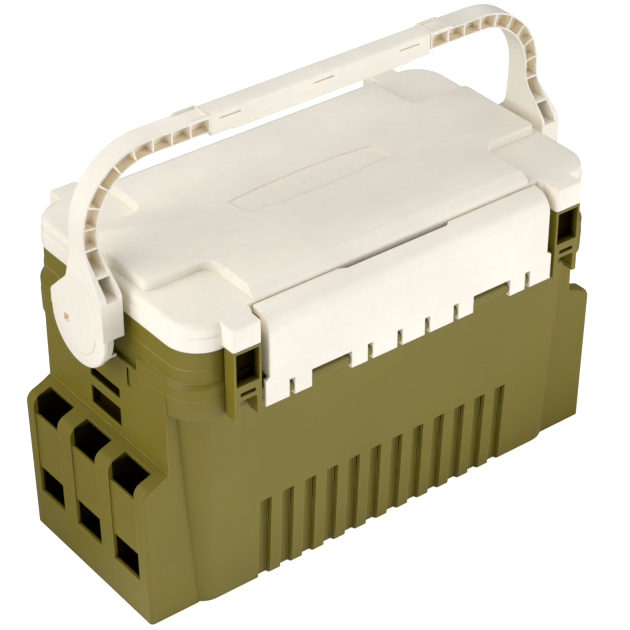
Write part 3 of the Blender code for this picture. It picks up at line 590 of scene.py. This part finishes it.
def make_racks():
    rack = rack_body()
    shafts, panels, windows = [between_webs()], [], []
    for bay in (-1, 0, 1):
        low, high = bay * BAY_PITCH - BAY_HALF, bay * BAY_PITCH + BAY_HALF
        shafts.append(bay_shaft(low, high))
        panel = [(0.2143, PANEL_Z[0]), (0.2200, PANEL_Z[0]), (0.2200, PANEL_Z[1]), (0.2151, PANEL_Z[1])]
        panels.append(prism(panel, "XZ", low, high))
        windows.append(block((0.2090, low + 0.0001, PANEL_Z[0] - 0.0001), (0.2200, high - 0.0001, 0.0600)))
    slots = []
    for low, high in STRAP_SLOTS:
        corners = ((-1, low), (1, low), (1, high), (-1, high))
        outline = [(sign * STRAP_HALF_Y, z, 0.0012) for sign, z in corners]
        slots.append(prism(outline, "YZ", 0.1871, 0.2000))
    slots += [block((0.1922, face * ROD_SLOT_Y[0], 0.1832), (0.2000, face * ROD_SLOT_Y[1], 0.2100))
              for face in (-1, 1)]
    shaped(rack, ("DIFFERENCE", joined(panels)), ("DIFFERENCE", joined(shafts)),
           ("DIFFERENCE", joined(windows + slots)))
    left = mirrored(rack, "left_rack")
    finish_piece(rack, "right_rod_rack", "tub", OLIVE, edge=0.0008)
    finish_piece(left, "left_rod_rack", "tub", OLIVE, edge=0.0008)


# ---------------------------------------------------------------- corner sockets
SOCKET_X = (0.1376, 0.1609)


def socket_form(facing):
    """A post with a window, a slotted crossbar, two legs and a small inner shelf."""
    x_low, x_high = SOCKET_X
    middle = (x_low + x_high) / 2
    top = 0.244 if facing < 0 else 0.2395
    near, back, far, out = [facing * y for y in (0.1046, 0.1068, 0.1165, 0.1200)]
    post = block((x_low, near, 0.185), (x_high, far, top), "socket_form")
    window = block((x_low + 0.0018, back, 0.2143), (x_high - 0.0018, out, min(0.2415, top - 0.0025)))
    slot = block((x_low + 0.0050, back, 0.2052), (x_high - 0.0050, out, 0.2083))
    inner_low, inner_high = x_low + 0.0040, x_high - 0.0040
    outline = [(inner_low, 0.1800), (inner_high, 0.1800), (inner_high, 0.1878, 0.0012),
               (x_high - 0.0052, 0.1890, 0.0012), (inner_high, 0.1905, 0.0015), (inner_high, 0.2016, 0.002),
               (inner_low, 0.2016, 0.002)]
    legs = prism(outline, "XZ", *sorted((facing * 0.1000, out)))
    heel = block((x_low - 0.001, facing * 0.1040, 0.1845), (x_high + 0.001, facing * 0.1060, 0.1862))
    shaped(post, ("DIFFERENCE", joined([window, slot, legs])), ("DIFFERENCE", heel))
    shelf = block((x_low + 0.0030, back - facing * 0.0004, 0.2205), (middle, facing * 0.1092, 0.2217))
    return shaped(post, ("UNION", shelf))


def make_sockets():
    for end, facing in ENDS:
        post = socket_form(facing)
        left = mirrored(post, "socket")
        finish_piece(post, f"{end}_right_socket", "tub", OLIVE, edge=0.0005)
        finish_piece(left, f"{end}_left_socket", "tub", OLIVE, edge=0.0005)


# ---------------------------------------------------------------- lid
LID_TOP = 0.271
LOW_TOP = 0.263


LID_FOOT = 0.242
LID_HALF = (0.1895, 0.1035)
LID_CORNER_R = 0.0275
SKIRT_DROP = 0.002                       # how far the hollow's forms pass the lid's lower edges


def lid_skirt(inset):
    """The low part of the lid, with a small step above its foot and a rolled upper edge."""
    hx, hy, r = LID_HALF[0] - inset, LID_HALF[1] - inset, LID_CORNER_R - inset
    low = LOW_TOP - inset
    roll = 0.0045 - inset / 3
    rings = [(LID_FOOT - (SKIRT_DROP if inset else 0.0), hx, hy, r)]
    if not inset:
        rings += [(0.2520, hx, hy, r), (0.2530, hx - 0.0003, hy - 0.0003, r - 0.0003),
                  (0.2535, hx - 0.0009, hy - 0.0009, r - 0.0009)]
        hx, hy, r = hx - 0.0007, hy - 0.0007, r - 0.0007
    rings.append((low - roll, hx - 0.0002, hy - 0.0002, r))
    for k in range(1, 7):
        turn = math.pi / 2 * k / 6
        back = 0.0002 + roll * (1 - math.cos(turn))
        rings.append((low - roll * (1 - math.sin(turn)), hx - back, hy - back, r - back))
    return loft(rings, "lid_form", 6.0)


def lid_deck(inset):
    """The raised platform: a wide middle with a narrower wing at each end."""
    top = LID_TOP - inset
    plan = []
    for sx, sy in ((1, -1), (1, 1), (-1, 1), (-1, -1)):
        wing = (sx * (0.1812 - inset), sy * (0.0410 - inset), 0.0045)
        inner = (sx * (0.1270 - inset), sy * (0.0410 - inset), 0.0115)
        outer = (sx * (0.1270 - inset), sy * (0.0965 - inset), 0.0040)
        plan += [outer, inner, wing] if sx * sy < 0 else [wing, inner, outer]
    deck = prism(plan, "XY", 0.2480, top, "deck", 9.0)
    round_edges(deck, 0.0022, lambda m, d: abs(m.z - top) < 1e-5, 4)
    edge = 0.096 - inset
    fillet = 0.0135 - inset / 2
    profile = [(-edge, 0.2400), (edge, 0.2400), (edge, top + 0.0001, fillet), (-edge, top + 0.0001, fillet)]
    return shaped(deck, ("INTERSECT", prism(profile, "YZ", -0.2, 0.2, "profile", 6.0)))


def lid_ears(inset):
    """A tab over each corner socket."""
    low = LOW_TOP - inset
    ears = []
    for _, facing in ENDS:
        for _, side in SIDES:
            x_low, x_high = side * (0.1370 + inset), side * (0.1615 - inset)
            near, far = facing * 0.0950, facing * (0.1165 - inset)
            outline = [(x_low, near), (x_low, far, 0.0022), (x_high, far, 0.0022), (x_high, near)]
            ear = prism(outline, "XY", 0.2444 - (SKIRT_DROP if inset else 0.0), low, "ear")
            ears.append(round_edges(ear, 0.0016, lambda m, d: abs(m.z - low) < 1e-5, 3))
    return joined(ears)


def lid_form(inset):
    """The lid's outer shape, or its hollow when inset by the wall."""
    form = lid_skirt(inset)
    pockets = []                             # room for the flap in front and the knuckles behind
    for end, facing in ENDS:
        bottom = {"front": 0.2390, "rear": 0.2545}[end] - inset
        pockets.append(block((-0.1348 - inset, facing * (0.096 - inset), bottom),
                             (0.1348 + inset, facing * 0.110, 0.280)))
    return shaped(form, ("DIFFERENCE", pockets), ("UNION", lid_deck(inset)), ("UNION", lid_ears(inset)))


def lid_knuckles():
    y, z = LID_PIN
    r = LID_KNUCKLE_R
    outline = [(0.1020, 0.2462), (y - r - 0.0012, z + 0.001), (y - r, z - r, r - 1e-4),
               (y + r, z - r, r - 1e-4), (y + r, z + r, r - 1e-4), (0.1020, 0.2535)]
    half = LID_KNUCKLE_WIDTH / 2
    return joined([prism(outline, "YZ", middle - half, middle + half) for middle in LID_KNUCKLES])


def lens_form():
    """A shallow leaf sunk in the platform, the same after half a turn about its middle."""
    outline = []
    for sign in (1, -1):
        for x, y, radius in ((-0.0690, 0.0105, 0.0), (-0.035, 0.0135, 0.09), (0.0, 0.0148, 0.12),
                             (0.035, 0.0142, 0.09), (0.0655, 0.0110, 0.007)):
            outline.append((sign * x - 0.0045, sign * y + 0.0008, radius))
    return prism(outline[::-1], "XY", LID_TOP - 0.0012, LID_TOP + 0.002)


def make_lid():
    lid = lid_form(0.0)
    hollow = lid_form(WALL)
    relief = block((-0.1385, -0.1007, 0.2380), (0.1385, -0.0962, 0.2478))
    gate = rod(0.0021, (-0.0106, -0.001, LID_TOP - 0.0014), (-0.0106, -0.001, LID_TOP + 0.001))
    shaped(lid, ("DIFFERENCE", hollow), ("DIFFERENCE", joined([relief, lens_form()])), ("DIFFERENCE", gate))
    shaped(lid, ("UNION", lid_knuckles()), ("DIFFERENCE", pin_bore(LID_PIN)))
    nodes = ["lid_shell", "left_lid_end", "right_lid_end"]
    return finish_piece(lid, nodes, "lid", CREAM, edge=0.0005)


# ---------------------------------------------------------------- front flap
FLAP_FACE_Y = -0.1162
FLAP_TOP = (-0.0975, 0.2622)
FLAP_FOOT_Z = 0.1867
FLAP_STEP_Z = 0.2085
FLAP_UPPER_HALF = FLAP_HALF_X - 0.0036   # the ends stand back above the straight lower sheet
FLAP_ROUND = 0.016
NOTCH_TOP = 0.2018


def flap_upper():
    """The rounded upper part with its two end flanges."""
    y_top, z_top = FLAP_TOP
    half = FLAP_UPPER_HALF
    outline = [(FLAP_FACE_Y, FLAP_STEP_Z), (FLAP_FACE_Y, z_top, FLAP_ROUND), (y_top, z_top), (y_top, 0.2556),
               (-0.1056, 0.2556), (-0.1056, 0.2125)]
    flap = prism(outline, "YZ", -half, half, "flap_form", 6.0)

    def front_rim(m, d):
        on_cap = abs(abs(m.x) - half) < 1e-4 and abs(d.x) < 0.5
        in_bend = m.y < FLAP_FACE_Y + 0.0165 and m.z > z_top - 0.0165
        return on_cap and (m.y < FLAP_FACE_Y + 1e-4 or m.z > z_top - 1e-4 or in_bend)

    return round_edges(flap, 0.0011, front_rim, 4, sharper_than=10)


def flap_sheet():
    """The straight lower sheet, whose ends slope in to the upper part."""
    full, upper = FLAP_HALF_X, FLAP_UPPER_HALF - 0.0016
    low, high = FLAP_FOOT_Z + 0.0008, 0.2128
    outline = [(-full, low), (full, low), (full, FLAP_STEP_Z, 0.0010), (upper, high), (-upper, high),
               (-full, FLAP_STEP_Z, 0.0010)]
    return prism(outline, "XZ", FLAP_FACE_Y + 1e-5, FLAP_FACE_Y + WALL - 1e-5)


def make_flap():
    face, z_top, half = FLAP_FACE_Y, FLAP_TOP[1], FLAP_UPPER_HALF
    flap = flap_upper()
    outline = [(face + WALL, 0.2000), (face + WALL, z_top - WALL, FLAP_ROUND - WALL), (-0.0900, z_top - WALL),
               (-0.0900, 0.2000)]
    hollow = prism(outline, "YZ", -half + WALL, half - WALL)
    shaped(flap, ("DIFFERENCE", hollow), ("UNION", flap_sheet()))
    y, z = FLAP_PIN
    reach, turn = KNUCKLE_R, KNUCKLE_R - 1e-4
    foot = [(face, FLAP_FOOT_Z, 0.0010), (face, FLAP_STEP_Z + 0.0006), (face + WALL, FLAP_STEP_Z + 0.0012),
            (face + WALL, NOTCH_TOP), (y + reach, z + reach, turn), (y + reach, z - reach, turn),
            (y - reach, FLAP_FOOT_Z)]
    cuts = []
    for middle, width in KNUCKLES:
        low, high = middle - width / 2, middle + width / 2
        notch = [(low, 0.1800), (high, 0.1800), (high, NOTCH_TOP, 0.0006), (low, NOTCH_TOP, 0.0006)]
        cuts.append(prism(notch, "XZ", -0.1250, -0.1000))
    recess = [(-0.0580, -0.0900), (-0.0580, -0.0968), (-0.0500, -0.1008, 0.004), (0.0420, -0.1008, 0.002),
              (0.0462, -0.0968), (0.0462, -0.0900)]
    cuts.append(prism(recess, "XY", 0.2500, 0.2700))
    shaped(flap, ("UNION", prism(foot, "YZ", -FLAP_HALF_X, FLAP_HALF_X)), ("DIFFERENCE", joined(cuts)),
           ("DIFFERENCE", rod(PIN_BORE_R, (-0.1350, y, z), (0.1350, y, z))))
    return finish_piece(flap, "front_latch", "latch", CREAM, edge=0.0005)


# ---------------------------------------------------------------- handle
PIVOT_Z = 0.228
PIVOT_BORE_R = 0.0073
DISC_R = 0.034
ARM_FACE_X = 0.2135
ARM_OUTER_X = 0.210
ARM_TOP = 0.362
ARM_BODY_TOP = 0.3602                    # the border beside the grip stands above this
ARM_THICK = 0.012
ARM_HALF_Y = 0.0095
ARM_BEND_R = 0.054
GRIP_HALF_X = 0.100
CELLS = 11
CELL_PITCH = 0.0158
RIB = 0.0014


def arm_centre(distance):
    """Point and direction on the arm's middle line, from the grip outwards and down."""
    bend_x = ARM_OUTER_X - 0.0060 - ARM_BEND_R
    bend_z = ARM_TOP - 0.0018 - ARM_THICK / 2 - ARM_BEND_R
    flat, arc = bend_x - GRIP_HALF_X, ARM_BEND_R * math.pi / 2
    if distance < flat:
        return Vector((GRIP_HALF_X + distance, bend_z + ARM_BEND_R)), 0.0
    if distance < flat + arc:
        angle = (distance - flat) / ARM_BEND_R
        return Vector((bend_x + ARM_BEND_R * math.sin(angle), bend_z + ARM_BEND_R * math.cos(angle))), angle
    return Vector((bend_x + ARM_BEND_R, bend_z - (distance - flat - arc))), math.pi / 2


def arm_cells():
    """Pockets between the arm's ribs, on its front and back faces."""
    front, back = [], []
    for i in range(CELLS):
        start = 0.0020 + CELL_PITCH * i + (0.0 if i else -0.0004)
        end = 0.0020 + CELL_PITCH * (i + 1) - RIB
        inner, outer = [], []
        for k in range(5):
            point, angle = arm_centre(start + (end - start) * k / 4)
            normal = Vector((math.sin(angle), math.cos(angle)))
            inner.append(tuple(point - normal * 0.0050))
            outer.append(tuple(point + normal * 0.0047))
        outline = inner + outer[::-1]
        front.append(prism(outline, "XZ", -0.0400, -RIB))
        back.append(prism(outline, "XZ", RIB, 0.0400))
    return front + back


def arm_body():
    """The arm seen from the front, crossed with the arm seen from its end."""
    root_z, top, inner_x = PIVOT_Z + 0.0015, ARM_BODY_TOP, GRIP_HALF_X + GAP
    sweep = [(0.1960, root_z), (ARM_FACE_X, root_z), (ARM_FACE_X, 0.268, 0.012), (ARM_OUTER_X, 0.288, 0.022),
             (ARM_OUTER_X, top, 0.060), (inner_x, top), (inner_x, top - ARM_THICK),
             (0.1975, top - ARM_THICK, 0.048), (0.1975, 0.288, 0.020), (0.1960, 0.268, 0.010)]
    widths = [(-DISC_R, 0.2200), (0.0335, 0.2200), (0.0335, 0.2420, 0.008), (ARM_HALF_Y, 0.2650, 0.012),
              (ARM_HALF_Y, 0.3700), (-ARM_HALF_Y, 0.3700), (-ARM_HALF_Y, 0.2900, 0.020),
              (-DISC_R, 0.2640, 0.010)]
    arm = prism(sweep, "XZ", -DISC_R, DISC_R, "arm_form", 5.0)
    return shaped(arm, ("INTERSECT", prism(widths, "YZ", 0.0900, 0.2250, "w", 6.0)))


def arm_disc():
    profile = [(0.0, 0.2085), (DISC_R - 0.0009, 0.2085), (DISC_R - 0.0001, 0.2093), (DISC_R - 0.0001, 0.2118),
               (DISC_R - 0.0004, 0.2127), (DISC_R - 0.0011, 0.2133), (DISC_R - 0.0020, ARM_FACE_X - 1e-5),
               (0.0, ARM_FACE_X - 1e-5)]
    disc = turned(profile, "disc", 72)
    disc.data.transform(Matrix.Translation((0, 0, PIVOT_Z)))
    return disc


def arm_border():
    """A raised border round three sides of the arm's top, beside the grip."""
    border = prism([(0.1004, 0.3575), (0.1004, 0.3619, 0.0006), (0.1190, 0.3619, 0.002),
                    (0.1222, ARM_BODY_TOP), (0.1222, 0.3575)], "XZ", -0.00945, 0.00945)
    floor = ARM_BODY_TOP - 0.00002
    inside = prism([(0.1024, floor), (0.1300, floor), (0.1300, 0.3640), (0.1024, 0.3640)],
                   "XZ", -0.0077, 0.0077)
    return shaped(border, ("DIFFERENCE", inside))


def disc_groove():
    """A shallow hooked groove on the disc's face."""
    mark = []
    for k in range(19):
        turn = math.radians(-2 - 78 * k / 18)
        mark.append((-0.0232 * math.cos(turn), PIVOT_Z + 0.0232 * math.sin(turn)))
    hook = [(y * 0.983, PIVOT_Z + (z - PIVOT_Z) * 0.983) for y, z in reversed(mark)]
    return prism(mark + hook, "YZ", ARM_FACE_X - 0.0004, 0.2200)


def make_arms():
    arm = arm_body()
    tenon = block((0.0980, -0.0058, 0.3500), (0.1030, 0.0058, 0.3588))
    shaped(arm, ("UNION", arm_disc()), ("UNION", tenon), ("UNION", arm_border()))
    cells = arm_cells()
    shaped(arm, ("DIFFERENCE", joined(cells[0::2])), ("DIFFERENCE", joined(cells[1::2])))
    bore = rod(PIVOT_BORE_R, (0.1900, 0, PIVOT_Z), (0.2082, 0, PIVOT_Z))
    window = prism([(0.0110, 0.2235), (0.0175, 0.2232), (0.0172, 0.2296), (0.0112, 0.2292)],
                   "YZ", 0.2050, 0.2200)
    shaped(arm, ("DIFFERENCE", joined([bore, window, disc_groove()])))
    left = mirrored(arm, "left_arm")
    finish_piece(arm, "right_handle_arm", "handle", CREAM, edge=0.0004)
    finish_piece(left, "left_handle_arm", "handle", CREAM, edge=0.0004)


def make_grip():
    """Both halves of the grip in one look, with narrow slots and stepped ends."""
    half, bottom, top = 0.0090, 0.3415, 0.3616
    profile = [(-half, bottom, 0.0042), (half, bottom, 0.0042), (half, top, 0.0026), (-half, top, 0.0026)]
    grip = prism(profile, "YZ", -GRIP_HALF_X, GRIP_HALF_X, "grip", 9.0)
    cuts = [block((x - 0.0093, face * 0.0070, 0.3558), (x + 0.0093, face * 0.0095, 0.3566))
            for x in (-0.0830, 0.0, 0.0800) for face in (-1, 1)]
    cuts += [prism([(side * 0.0765, bottom - 0.001), (side * 0.0820, 0.3443), (side * 0.1010, 0.3443),
                    (side * 0.1010, bottom - 0.001)], "XZ", -0.012, 0.012) for side in (-1, 1)]
    shaped(grip, ("DIFFERENCE", joined(cuts)))
    finish_piece(grip, ["grip_upper", "grip_lower"], "handle", CREAM, edge=0.0003)


def clip_form():
    """The half-round layer behind a disc, with a thin stop finger at its foot."""
    profile = [(0.0, 0.2035), (0.0316, 0.2035), (0.0325, 0.2043), (0.0325, 0.2073), (0.0318, 0.2080),
               (0.0, 0.2080)]
    clip = turned(profile, "clip", 72)
    clip.data.transform(Matrix.Translation((0, 0, PIVOT_Z)))
    trim = block((0.2000, -0.0400, PIVOT_Z + 0.0012), (0.2100, 0.0400, 0.3000))
    bore = rod(PIVOT_BORE_R, (0.1900, 0, PIVOT_Z), (0.2100, 0, PIVOT_Z))
    finger = [(-0.0228, 0.2058), (-0.0203, 0.2058), (-0.0203, 0.2078, 0.0006), (-0.0228, 0.2078, 0.0006)]
    stop = prism(finger, "YZ", 0.1965, 0.2060)
    return shaped(clip, ("DIFFERENCE", [trim, bore]), ("UNION", stop))


def make_clips():
    for side_name, side in SIDES:
        clip = clip_form()
        if side < 0:
            other = mirrored(clip, "clip")
            bpy.data.objects.remove(clip, do_unlink=True)
            clip = other
        finish_piece(clip, f"{side_name}_pivot_clip", "handle", CREAM, edge=0.0003)


# ---------------------------------------------------------------- floor, light and camera
def floor_material():
    """Plain white to the eye. As a light it is brightest in front of the object, towards the left."""
    mat = bpy.data.materials.new("studio_floor")
    mat.use_nodes = True
    shader = mat.node_tree.nodes["Principled BSDF"]
    shader.inputs["Base Color"].default_value = (0.30, 0.30, 0.30, 1.0)
    shader.inputs["Roughness"].default_value = 0.9
    shader.inputs["Emission Color"].default_value = (1.0, 1.0, 1.0, 1.0)
    rays = mat.node_tree.nodes.new("ShaderNodeLightPath")
    where = mat.node_tree.nodes.new("ShaderNodeTexCoord")
    along = mat.node_tree.nodes.new("ShaderNodeVectorMath")
    along.operation = "DOT_PRODUCT"
    along.inputs[1].default_value = (-0.22, -0.975, 0.0)
    spread = mat.node_tree.nodes.new("ShaderNodeMapRange")
    for key, number in (("From Min", 0.02), ("From Max", 0.17), ("To Min", 0.05), ("To Max", 1.00)):
        spread.inputs[key].default_value = number
    glow = mat.node_tree.nodes.new("ShaderNodeMix")
    glow.inputs[3].default_value = 0.95
    for a, b in ((where.outputs["Object"], along.inputs[0]), (along.outputs["Value"], spread.inputs["Value"]),
                 (spread.outputs["Result"], glow.inputs[2]), (rays.outputs["Is Camera Ray"], glow.inputs[0]),
                 (glow.outputs[0], shader.inputs["Emission Strength"])):
        mat.node_tree.links.new(a, b)
    return mat


def make_world():
    """Pale to look at, dim as a light."""
    world = bpy.data.worlds.new("studio")
    bpy.context.scene.world = world
    world.use_nodes = True
    background = world.node_tree.nodes["Background"]
    background.inputs["Color"].default_value = (1.0, 0.995, 0.985, 1.0)
    seen = world.node_tree.nodes.new("ShaderNodeLightPath")
    strength = world.node_tree.nodes.new("ShaderNodeMath")
    strength.operation = "MULTIPLY_ADD"
    strength.inputs[1].default_value = 0.73  # added for rays from the camera
    strength.inputs[2].default_value = 0.22
    world.node_tree.links.new(seen.outputs["Is Camera Ray"], strength.inputs[0])
    world.node_tree.links.new(strength.outputs[0], background.inputs["Strength"])


def soft_light(name, place, aim, size, power, colour=(1.0, 1.0, 1.0)):
    data = bpy.data.lights.new(name, "AREA")
    data.shape = "RECTANGLE"
    data.size, data.size_y = size
    data.energy = power
    data.color = colour
    light = bpy.data.objects.new(name, data)
    bpy.context.scene.collection.objects.link(light)
    light.location = place
    light.rotation_mode = "QUATERNION"
    light.rotation_quaternion = (Vector(aim) - Vector(place)).to_track_quat("-Z", "Y")


def make_stage():
    floor = prism([(-9, -9), (9, -9), (9, 9), (-9, 9)], "XY", -0.012, -0.0002, "floor")
    floor.name = "studio_floor"
    floor.data.materials.append(floor_material())
    make_world()
    soft_light("key_left", (-2.3, 0.3, 1.7), (0, 0, 0.2), (2.6, 2.6), 62, (1.0, 0.985, 0.95))
    soft_light("front_fill", (1.6, -2.2, 0.9), (0, 0, 0.15), (2.0, 1.6), 39, (1.0, 0.99, 0.97))
    soft_light("top", (0.4, 0.6, 1.8), (0, 0, 0.2), (2.0, 2.0), 12)


def make_camera():
    data = bpy.data.cameras.new("camera")
    data.sensor_width = 36.0
    data.lens = 131.1
    data.shift_x = -0.0019
    data.shift_y = 0.0276
    camera = bpy.data.objects.new("camera", data)
    bpy.context.scene.collection.objects.link(camera)
    azimuth, elevation = math.radians(-37.73), math.radians(34.77)
    flat = math.cos(elevation)
    back = Vector((math.sin(azimuth) * flat, -math.cos(azimuth) * flat, math.sin(elevation)))
    target = Vector((0, 0, 0.130))
    camera.location = target + back * 1.7835
    camera.rotation_mode = "QUATERNION"
    camera.rotation_quaternion = (-back).to_track_quat("-Z", "Y")
    bpy.context.scene.camera = camera


make_tub()
make_racks()
make_sockets()
make_lid()
make_flap()
make_arms()
make_grip()
make_clips()
make_stage()
make_camera()
bpy.context.scene.view_settings.view_transform = "Standard"
